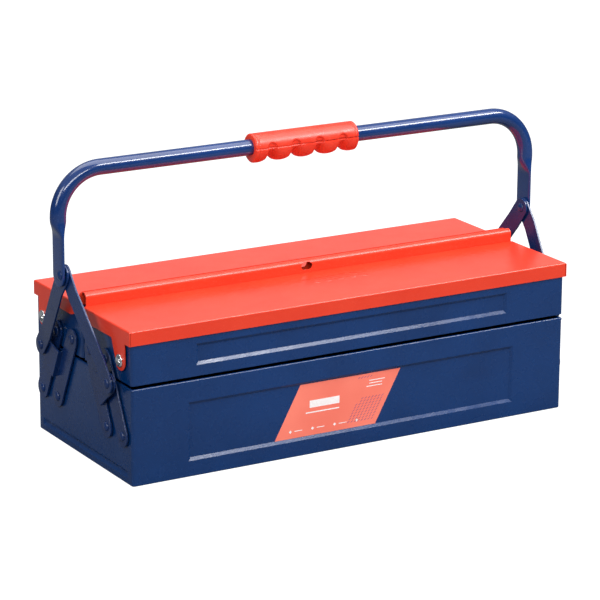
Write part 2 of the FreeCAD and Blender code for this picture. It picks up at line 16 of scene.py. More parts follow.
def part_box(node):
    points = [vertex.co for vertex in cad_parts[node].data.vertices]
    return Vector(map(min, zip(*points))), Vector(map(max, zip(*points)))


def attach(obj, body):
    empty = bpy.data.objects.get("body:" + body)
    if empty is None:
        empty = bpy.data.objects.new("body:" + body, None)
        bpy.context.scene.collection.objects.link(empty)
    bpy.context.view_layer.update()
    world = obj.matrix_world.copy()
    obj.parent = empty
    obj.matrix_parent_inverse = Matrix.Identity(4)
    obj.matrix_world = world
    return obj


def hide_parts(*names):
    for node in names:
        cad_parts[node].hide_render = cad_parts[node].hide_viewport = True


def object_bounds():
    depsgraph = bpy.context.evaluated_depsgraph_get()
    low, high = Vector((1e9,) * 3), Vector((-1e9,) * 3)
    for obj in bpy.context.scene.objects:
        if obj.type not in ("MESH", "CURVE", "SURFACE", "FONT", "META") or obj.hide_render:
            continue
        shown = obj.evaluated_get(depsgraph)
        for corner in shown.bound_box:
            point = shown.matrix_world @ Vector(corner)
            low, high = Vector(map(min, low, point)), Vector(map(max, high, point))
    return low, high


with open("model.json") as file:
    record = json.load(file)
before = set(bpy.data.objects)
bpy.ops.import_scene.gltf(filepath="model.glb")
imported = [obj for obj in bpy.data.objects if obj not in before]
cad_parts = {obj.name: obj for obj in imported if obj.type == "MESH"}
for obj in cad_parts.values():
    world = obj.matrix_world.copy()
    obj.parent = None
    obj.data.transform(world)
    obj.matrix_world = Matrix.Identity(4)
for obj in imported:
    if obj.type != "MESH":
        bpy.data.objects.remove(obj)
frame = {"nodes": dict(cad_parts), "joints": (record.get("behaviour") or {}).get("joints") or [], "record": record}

cad_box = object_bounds()
nodes = frame["nodes"]
record = frame["record"]
joints = {j["name"]: j for j in frame["joints"]}
body_of = {n: body for body, members in record["behaviour"]["bodies"].items() for n in members}
MM = 0.001
print("pieces in the frame:", len(nodes), "box:", [[round(v, 4) for v in c] for c in cad_box])

# %% [markdown]
# ## Camera
# A long lens from the front left, a little above the lids, keeps the long edges nearly parallel.
# A camera could be aimed with a constraint, but a constraint lives on after the script. Turning the
# direction of sight into a rotation once gives the same view and leaves nothing behind.

# %% Camera
eye = Vector((-1.468, -2.503, 0.973))
aim = Vector((-0.0037, 0.0, 0.1251))
lean = math.radians(0.3)
camera_data = bpy.data.cameras.new("camera")
camera_data.lens = 179.6
camera_data.clip_end = 60
camera = bpy.data.objects.new("camera", camera_data)
camera.location = eye
camera.rotation_mode = "QUATERNION"
camera.rotation_quaternion = (aim - eye).to_track_quat("-Z", "Y") @ Quaternion((0, 0, 1), lean)
bpy.context.scene.collection.objects.link(camera)
bpy.context.scene.camera = camera
bpy.context.scene.view_settings.view_transform = "Standard"
print("camera is", round((aim - eye).length, 3), "m from the box")

# %% [markdown]
# ## Studio
# Painted steel shows what is around it more than its own colour, so large soft lights matter more
# than strong ones. One wide panel hangs over the box, one stands at its left and a dim one behind it.
# Two long narrow ones in front draw the bright lines along its edges. The floor and the room are white
# only where the camera looks at them; the paint reflects them much darker, and so keeps its depth.

# %% Floor and lights
floor_mesh = bpy.data.meshes.new("floor")
half_floor = 14.0
corners = [(x * half_floor, y * half_floor, 0) for x, y in ((-1, -1), (1, -1), (1, 1), (-1, 1))]
floor_mesh.from_pydata(corners, [], [(0, 1, 2, 3)])
floor_gap = 0.2 * MM          # keeps the floor out of the plane of the base's underside
floor = bpy.data.objects.new("floor", floor_mesh)
floor.location.z = cad_box[0][2] - floor_gap
bpy.context.scene.collection.objects.link(floor)
floor_paint = bpy.data.materials.new("pale_floor")
floor_paint.use_nodes = True
floor_shader = floor_paint.node_tree.nodes["Principled BSDF"]
floor_shader.inputs["Base Color"].default_value = (0.16, 0.165, 0.17, 1)
floor_shader.inputs["Roughness"].default_value = 0.9
floor_shader.inputs["Specular IOR Level"].default_value = 0.1
floor_shader.inputs["Emission Color"].default_value = (1, 1, 1, 1)
floor_look = floor_paint.node_tree.nodes.new("ShaderNodeLightPath")
floor_paint.node_tree.links.new(floor_look.outputs["Is Camera Ray"],
                                floor_shader.inputs["Emission Strength"])
floor_mesh.materials.append(floor_paint)

world = bpy.data.worlds.new("studio")
world.use_nodes = True
world_tree = world.node_tree
room = world_tree.nodes["Background"]
direction = world_tree.nodes.new("ShaderNodeTexCoord")
height = world_tree.nodes.new("ShaderNodeSeparateXYZ")
walls = world_tree.nodes.new("ShaderNodeValToRGB")
world_tree.links.new(direction.outputs["Generated"], height.inputs[0])
world_tree.links.new(height.outputs["Z"], walls.inputs["Fac"])
world_tree.links.new(walls.outputs["Color"], room.inputs["Color"])
walls.color_ramp.elements[0].position = 0.0
walls.color_ramp.elements[0].color = (0.16, 0.17, 0.19, 1)
walls.color_ramp.elements[1].position = 0.75
walls.color_ramp.elements[1].color = (0.9, 0.92, 0.95, 1)
half_way = walls.color_ramp.elements.new(0.3)
half_way.color = (0.22, 0.23, 0.25, 1)
room.inputs["Strength"].default_value = 0.6
seen = world_tree.nodes.new("ShaderNodeBackground")
seen.inputs["Color"].default_value = (1, 1, 1, 1)
straight_look = world_tree.nodes.new("ShaderNodeLightPath")
either = world_tree.nodes.new("ShaderNodeMixShader")
world_tree.links.new(straight_look.outputs["Is Camera Ray"], either.inputs[0])
world_tree.links.new(room.outputs[0], either.inputs[1])
world_tree.links.new(seen.outputs[0], either.inputs[2])
world_tree.links.new(either.outputs[0], world_tree.nodes["World Output"].inputs[0])
bpy.context.scene.world = world


def soft_light(name, place, towards, width, height, power):
    light = bpy.data.lights.new(name, "AREA")
    light.shape = "RECTANGLE"
    light.size, light.size_y = width, height
    light.energy = power
    lamp = bpy.data.objects.new(name, light)
    lamp.location = place
    lamp.rotation_mode = "QUATERNION"
    lamp.rotation_quaternion = (Vector(towards) - Vector(place)).to_track_quat("-Z", "Y")
    bpy.context.scene.collection.objects.link(lamp)


soft_light("over the box", (0.2, 0.1, 1.7), (0.1, 0, 0.1), 2.4, 1.2, 26)
soft_light("front ceiling", (1.15, -1.1, 1.7), (0, 0, 0.1), 1.8, 0.3, 42)
soft_light("back wall", (0.6, 2.3, 0.75), (0, 0, 0.15), 2.8, 0.9, 3.5)
soft_light("left wall", (-1.9, -0.5, 1.0), (0, 0, 0.15), 0.7, 1.0, 14)
soft_light("front strip", (-0.7, -1.9, 1.35), (0, 0, 0.2), 2.0, 0.25, 26)

# %% [markdown]
# ## Powder coat
# The sheet metal wears a powder coat: a skin of melted grains, slightly pebbled, with fine lighter and
# darker specks. It could be an even colour with a rough shine, but then large panels look like card.
# Here noises work at three scales: specks under a millimetre, the pebbled bump, and a broad drift in
# tone and in shine.

# %% Powder coat
def new_finish(name):
    """An empty material with its shader, and the object's own coordinates."""
    material = bpy.data.materials.new(name)
    material.use_nodes = True
    tree = material.node_tree
    shader = tree.nodes["Principled BSDF"]
    place = tree.nodes.new("ShaderNodeTexCoord").outputs["Object"]
    return material, tree, shader, place


def noise(tree, place, scale, detail=2.0, roughness=0.5):
    node = tree.nodes.new("ShaderNodeTexNoise")
    node.inputs["Scale"].default_value = scale
    node.inputs["Detail"].default_value = detail
    node.inputs["Roughness"].default_value = roughness
    tree.links.new(place, node.inputs["Vector"])
    return node.outputs["Fac"]


def span(tree, value, low, high, to_low=0.0, to_high=1.0):
    """Carries a value from one range to another, smoothly and without running past the ends."""
    node = tree.nodes.new("ShaderNodeMapRange")
    node.interpolation_type = "SMOOTHSTEP"
    node.inputs["From Min"].default_value = low
    node.inputs["From Max"].default_value = high
    node.inputs["To Min"].default_value = to_low
    node.inputs["To Max"].default_value = to_high
    tree.links.new(value, node.inputs["Value"])
    return node.outputs["Result"]


def feed(tree, socket, value):
    """Sets a socket to a plain value, or links another socket to it."""
    if isinstance(value, bpy.types.NodeSocket):
        tree.links.new(value, socket)
    else:
        socket.default_value = value


def mix(tree, factor, first, second):
    """Mixes two colours; either may be a colour or an output."""
    node = tree.nodes.new("ShaderNodeMix")
    node.data_type = "RGBA"
    tree.links.new(factor, node.inputs[0])
    for socket, colour in ((node.inputs[6], first), (node.inputs[7], second)):
        feed(tree, socket, (*colour, 1) if isinstance(colour, tuple) else colour)
    return node.outputs[2]


def calc(tree, operation, first, second=0.0):
    node = tree.nodes.new("ShaderNodeMath")
    node.operation = operation
    for socket, value in zip(node.inputs, (first, second)):
        feed(tree, socket, value)
    return node.outputs[0]


def bump(tree, shader, height, distance, under=None):
    """Raises the paint at full strength; under is a bump that is already there and stays."""
    node = tree.nodes.new("ShaderNodeBump")
    node.inputs["Distance"].default_value = distance
    node.inputs["Strength"].default_value = 1.0
    tree.links.new(height, node.inputs["Height"])
    if under is not None:
        tree.links.new(under, node.inputs["Normal"])
    tree.links.new(node.outputs["Normal"], shader.inputs["Normal"])


def powder_coat(name, deep, body, fleck, rough, pebble=0.05, uneven=0.05):
    """Melted-powder paint: deep and body drift into each other, fleck is the colour of the specks."""
    material, tree, shader, place = new_finish(name)
    drift = span(tree, noise(tree, place, 14, 3), 0.3, 0.7)
    specks = span(tree, noise(tree, place, 950, 1.5, 0.6), 0.60, 0.72)
    dark_specks = span(tree, noise(tree, place, 620, 1.0, 0.5), 0.64, 0.75, 0, 0.5)
    ground = mix(tree, drift, deep, body)
    ground = mix(tree, dark_specks, ground, deep)
    colour = mix(tree, calc(tree, "MULTIPLY", specks, 0.55), ground, fleck)
    tree.links.new(colour, shader.inputs["Base Color"])
    tree.links.new(span(tree, noise(tree, place, 60, 4), 0.3, 0.7, rough - uneven, rough + uneven),
                   shader.inputs["Roughness"])
    coarse = calc(tree, "MULTIPLY", noise(tree, place, 260, 1), 0.8)
    grain = calc(tree, "ADD", noise(tree, place, 800, 2), coarse)
    bump(tree, shader, grain, pebble * MM)
    shader.inputs["IOR"].default_value = 1.5
    shader.inputs["Coat Weight"].default_value = 0.05
    shader.inputs["Coat Roughness"].default_value = 0.25
    return material


navy = powder_coat("navy_powder_coat", (0.0006, 0.024, 0.108), (0.0010, 0.030, 0.132),
                   (0.012, 0.075, 0.24), 0.27)
link_navy = powder_coat("navy_link_paint", (0.0016, 0.016, 0.08), (0.0028, 0.024, 0.115),
                        (0.03, 0.07, 0.2), 0.26, 0.03)
print("paints:", navy.name, link_navy.name)

# %% [markdown]
# ## Lid paint, with its pressed mark
# Each lid is coral orange with a row of short pressed bars in the middle of its top.
# The bars could be cut into the mesh, but so shallow a pressing only shows as a bent highlight, so the
# paint's bump makes it: a wave along the lid, masked to a small field.

# %% Lid paint
lid_mark = (31.5 * MM, 7.5 * MM)    # half its length and half its width
lid_mark_pitch = 14 * MM
lid_mark_side = 36 * MM             # from the middle of the box
lid_mark_depth = 1.3 * MM
lid_mark_edge = 0.8 * MM
bar_lean = 0.4


def lid_paint(name, middle):
    material = powder_coat(name, (0.70, 0.036, 0.012), (0.74, 0.044, 0.015), (0.88, 0.12, 0.06), 0.30,
                           0.03, 0.015)
    tree = material.node_tree
    shader = tree.nodes["Principled BSDF"]
    pebbles = shader.inputs["Normal"].links[0].from_socket
    place = next(n for n in tree.nodes if n.type == "TEX_COORD").outputs["Object"]
    axes = tree.nodes.new("ShaderNodeSeparateXYZ")
    tree.links.new(place, axes.inputs[0])
    along = calc(tree, "SUBTRACT", axes.outputs["X"], middle[0])
    across = calc(tree, "SUBTRACT", axes.outputs["Y"], middle[1])
    slanted = calc(tree, "ADD", along, calc(tree, "MULTIPLY", across, bar_lean))
    wave = calc(tree, "COSINE", calc(tree, "MULTIPLY", slanted, 2 * math.pi / lid_mark_pitch))
    field = span(tree, wave, -0.1, 0.35)
    for off, half in ((slanted, lid_mark[0]), (across, lid_mark[1])):
        inside = span(tree, calc(tree, "ABSOLUTE", off), half - lid_mark_edge, half + lid_mark_edge, 1, 0)
        field = calc(tree, "MULTIPLY", field, inside)
    bump(tree, shader, field, lid_mark_depth, pebbles)
    return material


front_orange = lid_paint("front_lid_orange", (0.016, -lid_mark_side))
rear_orange = lid_paint("rear_lid_orange", (-0.004, lid_mark_side))
print("each lid mark is", round(2 * lid_mark[0] / MM), "by", round(2 * lid_mark[1] / MM), "mm")

# %% [markdown]
# ## Sheet-metal shells and strips
# The base, trays, lids, links and arms have the right shape already, but their edges are perfectly sharp,
# and real folded or stamped steel never is. Each one is copied, its loose triangles are merged into whole
# faces, and a bevel rounds every edge by a few tenths of a millimetre, so that each edge catches light.
# A lid or a tray is one pressed sheet. The CAD divides it at its bends, so its parts are joined again first:
# left apart, each joint would get a bevel of its own and show as a groove that the real sheet doesn't have.

# %% Eased copies of the steel pieces
sheet = 1.0 * MM
sheet_edge = 0.35 * MM        # how far a cut edge of the sheet or of a strip is rounded
fold = 30.0                   # a turn sharper than this many degrees is an edge
flat_within = math.radians(0.4)


def merge(shape, reach):
    """Joins points that are closer than reach, and the triangles of each flat into one face."""
    bmesh.ops.remove_doubles(shape, verts=shape.verts, dist=reach)
    bmesh.ops.dissolve_limit(shape, angle_limit=flat_within, verts=shape.verts, edges=shape.edges)


def smooth_up_to(mesh, sharp):
    """Shades a mesh smooth, apart from edges that turn by more than so many degrees."""
    mesh.polygons.foreach_set("use_smooth", [True] * len(mesh.polygons))
    mesh.set_sharp_from_angle(angle=math.radians(sharp))


def merged_copy(node):
    """The CAD node's mesh with its triangles joined into whole faces."""
    shape = bmesh.new()
    shape.from_mesh(nodes[node].data)
    merge(shape, 0.002 * MM)
    mesh = bpy.data.meshes.new("eased_" + node)
    shape.to_mesh(mesh)
    shape.free()
    return mesh


def one_sheet(name, parts):
    """Joins nodes that touch face to face into one closed skin, as the pressed sheet really is."""
    helpers = []
    for part in parts:
        helper = bpy.data.objects.new("joining_" + part, merged_copy(part))
        bpy.context.scene.collection.objects.link(helper)
        helpers.append(helper)
    first = helpers[0]
    for helper in helpers[1:]:
        union = first.modifiers.new("union", "BOOLEAN")
        union.operation = "UNION"
        union.solver = "EXACT"
        union.object = helper
    whole = bpy.data.meshes.new_from_object(first.evaluated_get(bpy.context.evaluated_depsgraph_get()))
    for helper in helpers:
        bpy.data.objects.remove(helper)
    shape = bmesh.new()
    shape.from_mesh(whole)
    merge(shape, 0.004 * MM)
    open_edges = sum(not edge.is_manifold for edge in shape.edges)
    shape.to_mesh(whole)
    shape.free()
    whole.name = name
    print(name, "joined from", len(parts), "parts, open edges:", open_edges)
    return whole


def put(name, mesh, body, material, replaced=()):
    """Links a finished mesh, gives it its paint and hands it to its body."""
    piece = bpy.data.objects.new(name, mesh)
    bpy.context.scene.collection.objects.link(piece)
    mesh.materials.clear()
    mesh.materials.append(material)
    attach(piece, body)
    if replaced:
        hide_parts(*replaced)
    return piece


def eased(name, mesh, parts, material, edge=sheet_edge):
    """Rounds a steel piece's edges; large flat faces keep their own shading."""
    smooth_up_to(mesh, fold)
    piece = put(name, mesh, body_of[parts[0]], material, parts)
    bevel = piece.modifiers.new("eased edges", "BEVEL")
    bevel.width = edge
    bevel.segments = 2
    bevel.limit_method = "ANGLE"
    bevel.angle_limit = math.radians(fold)
    flats = piece.modifiers.new("flat faces stay flat", "WEIGHTED_NORMAL")
    flats.weight = 100
    flats.keep_sharp = False


eased("base_sheet", merged_copy("base_shell"), ["base_shell"], navy)
for side, orange in (("front", front_orange), ("rear", rear_orange)):
    tray_parts = [side + "_tray_walls", side + "_tray_floor"]
    eased(side + "_tray_sheet", one_sheet(side + "_tray_sheet", tray_parts), tray_parts, navy)
    lid_parts = [side + "_lid_" + part for part in ("top", "long_flange", "end_flanges", "lip")]
    eased(side + "_lid_sheet", one_sheet(side + "_lid_sheet", lid_parts), lid_parts, orange, 0.25 * MM)
strips = [n for n in nodes if n.endswith("_link") or n.endswith("_arm")]
for node in strips:
    eased("eased_" + node, merged_copy(node), [node], link_navy)
print("eased links and arms:", len(strips))

# %% [markdown]
# ## Rivets
# Every pivot is a shouldered rivet: a flat tail inside, a spacer that holds the strip off the wall, and a
# domed head painted with the rest. There are twenty of them in five groups, so one Geometry Nodes tree makes
# the shape by extruding a disc ring by ring, as on a lathe, and sets it on each pivot's point.

# %% Rivet tree
def tree_with(name, sockets):
    """A Geometry Nodes tree with a geometry in, a geometry out and the named inputs."""
    tree = bpy.data.node_groups.new(name, "GeometryNodeTree")
    tree.interface.new_socket("Geometry", in_out="INPUT", socket_type="NodeSocketGeometry")
    for label, kind in sockets:
        tree.interface.new_socket(label, in_out="INPUT", socket_type=kind)
    tree.interface.new_socket("Geometry", in_out="OUTPUT", socket_type="NodeSocketGeometry")
    return tree, tree.nodes.new("NodeGroupInput").outputs, tree.nodes.new("NodeGroupOutput")


def ring(tree, shape, top, advance, widen):
    """Pushes the end face along the axis and scales it: one more ring of a turned shape."""
    push = tree.nodes.new("GeometryNodeExtrudeMesh")
    tree.links.new(shape, push.inputs["Mesh"])
    if top is not None:
        tree.links.new(top, push.inputs["Selection"])
    push.inputs["Offset"].default_value = (0, 0, 1)
    push.inputs["Individual"].default_value = False
    feed(tree, push.inputs["Offset Scale"], advance)
    scale = tree.nodes.new("GeometryNodeScaleElements")
    tree.links.new(push.outputs["Mesh"], scale.inputs["Geometry"])
    tree.links.new(push.outputs["Top"], scale.inputs["Selection"])
    feed(tree, scale.inputs["Scale"], widen)
    return scale.outputs["Geometry"], push.outputs["Top"]


def carried(tree, label):
    """The vector of that name on each point."""
    node = tree.nodes.new("GeometryNodeInputNamedAttribute")
    node.data_type = "FLOAT_VECTOR"
    node.inputs["Name"].default_value = label
    return node.outputs["Attribute"]


def set_on_points(tree, given, shape, turn, out, size=None):
    """Puts the shape on every point, turned and sized as the point asks, and makes it real."""
    on_points = tree.nodes.new("GeometryNodeInstanceOnPoints")
    tree.links.new(given["Geometry"], on_points.inputs["Points"])
    tree.links.new(shape, on_points.inputs["Instance"])
    tree.links.new(turn.outputs["Rotation"], on_points.inputs["Rotation"])
    if size is not None:
        tree.links.new(size, on_points.inputs["Scale"])
    real = tree.nodes.new("GeometryNodeRealizeInstances")
    finish = tree.nodes.new("GeometryNodeSetMaterial")
    tree.links.new(on_points.outputs["Instances"], real.inputs["Geometry"])
    tree.links.new(real.outputs["Geometry"], finish.inputs["Geometry"])
    tree.links.new(given["Finish"], finish.inputs["Material"])
    tree.links.new(finish.outputs["Geometry"], out.inputs["Geometry"])


def disc(tree, radius, sides):
    node = tree.nodes.new("GeometryNodeMeshCircle")
    node.fill_type = "NGON"
    node.inputs["Vertices"].default_value = sides
    feed(tree, node.inputs["Radius"], radius)
    return node.outputs["Mesh"]


def closed(tree, shape, first_face):
    """Adds the starting disc back as the far cap and welds the seam."""
    join = tree.nodes.new("GeometryNodeJoinGeometry")
    tree.links.new(shape, join.inputs["Geometry"])
    tree.links.new(first_face, join.inputs["Geometry"])
    weld = tree.nodes.new("GeometryNodeMergeByDistance")
    tree.links.new(join.outputs["Geometry"], weld.inputs["Geometry"])
    weld.inputs["Distance"].default_value = 0.005 * MM
    return weld.outputs["Geometry"]


FLOAT, MATERIAL = "NodeSocketFloat", "NodeSocketMaterial"
rivet_sizes = ("Head radius", "Shank radius", "Tail", "Wall", "Spacer", "Neck", "Head height")
rivet_sockets = [(label, FLOAT) for label in rivet_sizes]
rivet_tree, given, out = tree_with("rivets", [*rivet_sockets, ("Finish", MATERIAL)])
narrow = calc(rivet_tree, "DIVIDE", given["Shank radius"], given["Head radius"])
wide = calc(rivet_tree, "DIVIDE", given["Head radius"], given["Shank radius"])
rivet_sides = 28
start = disc(rivet_tree, given["Head radius"], rivet_sides)
shape, top = ring(rivet_tree, start, None, given["Tail"], 1.0)
for advance, widen in ((0.0, narrow), (given["Wall"], 1.0), (0.0, wide), (given["Spacer"], 1.0),
                       (0.0, narrow), (given["Neck"], 1.0), (0.0, wide)):
    shape, top = ring(rivet_tree, shape, top, advance, widen)
dome_steps = 5
crown = 0.6                   # share of a step that the dome stops short, to keep its last face open
for step in range(dome_steps):
    before, after = (math.pi / 2 * k / (dome_steps + crown) for k in (step, step + 1))
    rise = calc(rivet_tree, "MULTIPLY", given["Head height"], math.sin(after) - math.sin(before))
    shape, top = ring(rivet_tree, shape, top, rise, math.cos(after) / math.cos(before))
turn = rivet_tree.nodes.new("FunctionNodeAlignRotationToVector")
turn.axis = "Z"
rivet_tree.links.new(carried(rivet_tree, "facing"), turn.inputs["Vector"])
set_on_points(rivet_tree, given, closed(rivet_tree, shape, start), turn, out)
print("rivet tree has", len(rivet_tree.nodes), "nodes")

# %% [markdown]
# The points come from the frame's own joints, one at each end of the box for every pivot.
# A node tree's result is kept as a plain mesh, because only plain meshes are handed on with the model.

# %% Rivets on their pivots
def points_mesh(name, places, **vectors):
    """Loose points, with a list of vectors for each thing that they carry."""
    mesh = bpy.data.meshes.new(name)
    mesh.from_pydata(places, [], [])
    for label, values in vectors.items():
        attribute = mesh.attributes.new(label, "FLOAT_VECTOR", "POINT")
        for entry, value in zip(attribute.data, values):
            entry.vector = value
    return mesh


def grow(name, mesh, tree, values):
    """Runs a node tree on a mesh and returns the result as a plain mesh."""
    seed = bpy.data.objects.new(name + "_seed", mesh)
    bpy.context.scene.collection.objects.link(seed)
    modifier = seed.modifiers.new("nodes", "NODES")
    modifier.node_group = tree
    for item in tree.interface.items_tree:
        if item.item_type == "SOCKET" and item.in_out == "INPUT" and item.name in values:
            modifier[item.identifier] = values[item.name]
    graph = bpy.context.evaluated_depsgraph_get()
    grown = bpy.data.meshes.new_from_object(seed.evaluated_get(graph))
    seed.modifiers.remove(modifier)
    bpy.data.objects.remove(seed)
    grown.name = name
    shape = bmesh.new()
    shape.from_mesh(grown)
    bmesh.ops.recalc_face_normals(shape, faces=shape.faces)
    shape.to_mesh(grown)
    shape.free()
    smooth_up_to(grown, 40)
    return grown


def solid_mesh(name, shape, sharp):
    """Turns a finished editing mesh into a plain one with its faces outwards."""
    bmesh.ops.recalc_face_normals(shape, faces=shape.faces)
    mesh = bpy.data.meshes.new(name)
    shape.to_mesh(mesh)
    shape.free()
    smooth_up_to(mesh, sharp)
    return mesh


def pivot(joint):
    return joints[joint]["pos_m"][1], joints[joint]["pos_m"][2]


def reach_of(node):
    """Nearest and farthest distance of a node's points from the middle of the box."""
    distances = [abs(v.co.x) for v in nodes[node].data.vertices]
    return min(distances), max(distances)


rivet_shank, tail, head_height, head_radius = 3 * MM, 1.2 * MM, 2 * MM, 5 * MM
strip = 2.0 * MM
link_spacer, arm_spacer = 1.0 * MM, 0.85 * MM
rivet_jobs = []
outer_low, inner_low = pivot("trays_open"), pivot("front_inner_link_swing")
outer_high = pivot("front_tray_level")
link_step = (outer_high[0] - outer_low[0], outer_high[1] - outer_low[1])
inner_high = (inner_low[0] + link_step[0], inner_low[1] + link_step[1])
base_pivots = [outer_low, inner_low, pivot("rear_outer_link_swing"), pivot("rear_inner_link_swing")]
rivet_jobs.append(("base_link_rivets", base_pivots, sheet, link_spacer))
for side, sign in (("front", 1), ("rear", -1)):
    tray_pivots = [(sign * y, z) for y, z in (outer_high, inner_high)]
    rivet_jobs.append((side + "_tray_link_rivets", tray_pivots, sheet, link_spacer))
    rivet_jobs.append((side + "_arm_rivets", [pivot(side + "_arm_swing")], strip, arm_spacer))
for node, pivots, wall, spacer in rivet_jobs:
    near, far = reach_of(node)
    places = [(end * near, y, z) for end in (-1, 1) for y, z in pivots]
    facings = [(end, 0, 0) for end in (-1, 1) for _ in pivots]
    neck = far - near - tail - wall - spacer - head_height
    mesh = grow("turned_" + node, points_mesh(node, places, facing=facings), rivet_tree,
                {"Head radius": head_radius, "Shank radius": rivet_shank, "Tail": tail, "Wall": wall,
                 "Spacer": spacer, "Neck": neck, "Head height": head_height, "Finish": link_navy})
    put("turned_" + node, mesh, body_of[node], link_navy, [node])
    print(node, "rivets:", len(places), "neck", round(neck / MM, 2), "mm")
for node in ("handle_pivot_pins", "front_arm_studs", "rear_arm_studs"):
    eased("eased_" + node, merged_copy(node), [node], link_navy, 0.2 * MM)

# %% [markdown]
# ## Chromed hollow rivets
# Each lid turns on a hollow rivet whose end is rolled over into a bright ring.
# A torus would look like a loose washer, so the ring is turned as one profile: out over the flat, round
# the lip and down into the bore. Chrome only needs a hard shine and a few faint scuffs.

# %% Chrome finish
chrome, tree, shader, place = new_finish("bright_chrome")
scuffs = span(tree, noise(tree, place, 420, 5, 0.65), 0.45, 0.75)
tree.links.new(mix(tree, scuffs, (0.82, 0.82, 0.84), (0.62, 0.61, 0.6)), shader.inputs["Base Color"])
tree.links.new(span(tree, noise(tree, place, 160, 4), 0.3, 0.75, 0.1, 0.18), shader.inputs["Roughness"])
shader.inputs["Metallic"].default_value = 1.0
bump(tree, shader, noise(tree, place, 300, 2), 0.003 * MM)

# %% Hollow rivets
def turned(profile, sides):
    """A closed profile of (radius, distance along the axis) turned about +Z, its seam shared."""
    count = len(profile)
    points, faces = [], []
    for k in range(sides):
        angle = 2 * math.pi * k / sides
        points += [(r * math.cos(angle), r * math.sin(angle), z) for r, z in profile]
    for k in range(sides):
        for i in range(count):
            j, n = (i + 1) % count, (k + 1) % sides
            faces.append((k * count + i, k * count + j, n * count + j, n * count + i))
    return points, faces


def eyelet(node):
    near, far = reach_of(node)
    low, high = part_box(node)
    ring_radius = (high[2] - low[2]) / 2
    y, z = (low[1] + high[1]) / 2, (low[2] + high[2]) / 2
    bore, shank, shoulder, lip = 2 * MM, 3.2 * MM, 5.2 * MM, 2 * MM
    length = far - near
    ring_face = length - lip
    collar = ring_face - 1.3 * MM
    profile = [(bore, 0), (shoulder, 0), (shoulder, tail), (shank, tail), (shank, tail + sheet),
               (shoulder, tail + sheet), (shoulder, collar), (shank, collar), (shank, ring_face),
               (ring_radius - 0.2 * MM, ring_face)]
    # over the rolled lip, from just below its widest place to just past its top
    roll, rise, roll_steps = 1.6 * MM, lip * 0.62, 8
    for step in range(roll_steps + 1):
        angle = math.radians(-20 + 125 * step / roll_steps)
        profile.append((ring_radius - roll + roll * math.cos(angle), length - rise + rise * math.sin(angle)))
    # and down into the bore
    profile += [(bore + 1.5 * MM, length - 0.75 * MM), (bore + 0.5 * MM, length - 1.1 * MM),
                (bore, length - 1.6 * MM)]
    points, faces = turned(profile, 40)
    shape = bmesh.new()
    for end in (-1, 1):
        turn = Matrix.Translation((end * near, y, z)) @ Matrix.Rotation(end * math.pi / 2, 4, "Y")
        made = [shape.verts.new(turn @ Vector(p)) for p in points]
        for face in faces:
            shape.faces.new([made[i] for i in face])
    mesh = solid_mesh("turned_" + node, shape, 50)
    return put("turned_" + node, mesh, body_of[node], chrome, [node])


for side in ("front", "rear"):
    print(eyelet(side + "_lid_hinge_rivets").name)

# %% [markdown]
# ## Handle
# The handle is one tube, bent twice and flattened at both ends. It could be a curve with a round bevel,
# but a curve can't change its section. Here one section is carried along the path and changes on the way:
# a circle over the top, a thin rounded bar at each end, and a short stretch where one becomes the other.

# %% Handle paint
handle_paint = powder_coat("handle_gloss_navy", (0.0025, 0.022, 0.11), (0.004, 0.032, 0.15),
                           (0.03, 0.08, 0.24), 0.16, 0.02)
handle_shader = handle_paint.node_tree.nodes["Principled BSDF"]
handle_shader.inputs["Coat Weight"].default_value = 0.5
handle_shader.inputs["Coat Roughness"].default_value = 0.12

# %% Handle tube
tube_low, tube_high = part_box("handle_tube")
tube_radius = 8 * MM
flat_half = (tube_high[1] - tube_low[1]) / 2
flat_thick = 1.6 * MM
tube_y = (tube_high[1] + tube_low[1]) / 2
leg_x = tube_high[0] - tube_radius
bar_z = tube_high[2] - tube_radius
bend = 45 * MM
flat_above_pivot, swage_length = 36 * MM, 18 * MM
flat_top = pivot("handle_swing")[1] + flat_above_pivot
round_from = flat_top + swage_length
foot_steps, leg_steps, bend_steps, bar_steps = 12, 32, 24, 8
tube_sides = 36


def smooth(t):
    t = max(0.0, min(1.0, t))
    return t * t * (3 - 2 * t)


def half_path():
    """(x, z, direction) from the right foot up to the middle of the bar."""
    steps = []
    foot = tube_low[2]
    for k in range(foot_steps + 1):
        rise = flat_half * (1 - math.cos(math.pi / 2 * k / foot_steps))
        steps.append((leg_x, foot + rise, math.pi / 2))
    knee = bar_z - bend
    for k in range(1, leg_steps + 1):
        steps.append((leg_x, foot + flat_half + (knee - foot - flat_half) * k / leg_steps, math.pi / 2))
    for k in range(1, bend_steps + 1):
        angle = math.pi / 2 * k / bend_steps
        steps.append((leg_x - bend + bend * math.cos(angle), knee + bend * math.sin(angle),
                      math.pi / 2 + angle))
    for k in range(1, bar_steps + 1):
        steps.append(((leg_x - bend) * (1 - k / bar_steps), bar_z, math.pi))
    return steps


def section(x, z, heading):
    """One ring of the tube, square to its path."""
    open_ = smooth((z - flat_top) / (round_from - flat_top)) if heading == math.pi / 2 else 1.0
    width = flat_half + (tube_radius - flat_half) * open_
    thick = flat_thick + (tube_radius - flat_thick) * open_
    into_end = (tube_low[2] + flat_half - z) / flat_half
    if into_end > 0:
        width = max(flat_half * math.sqrt(max(0.0, 1 - into_end ** 2)), 0.4 * MM)
    power = 1.0 - 0.62 * (1 - open_)
    ring_points = []
    for k in range(tube_sides):
        angle = 2 * math.pi * k / tube_sides
        c, s = math.cos(angle), math.sin(angle)
        out_ = math.copysign(abs(c) ** power, c) * thick
        wide_ = math.copysign(abs(s) ** (0.75 + 0.25 * open_), s) * width
        ring_points.append(Vector((x + out_ * math.sin(heading), tube_y + wide_,
                                   z - out_ * math.cos(heading))))
    return ring_points


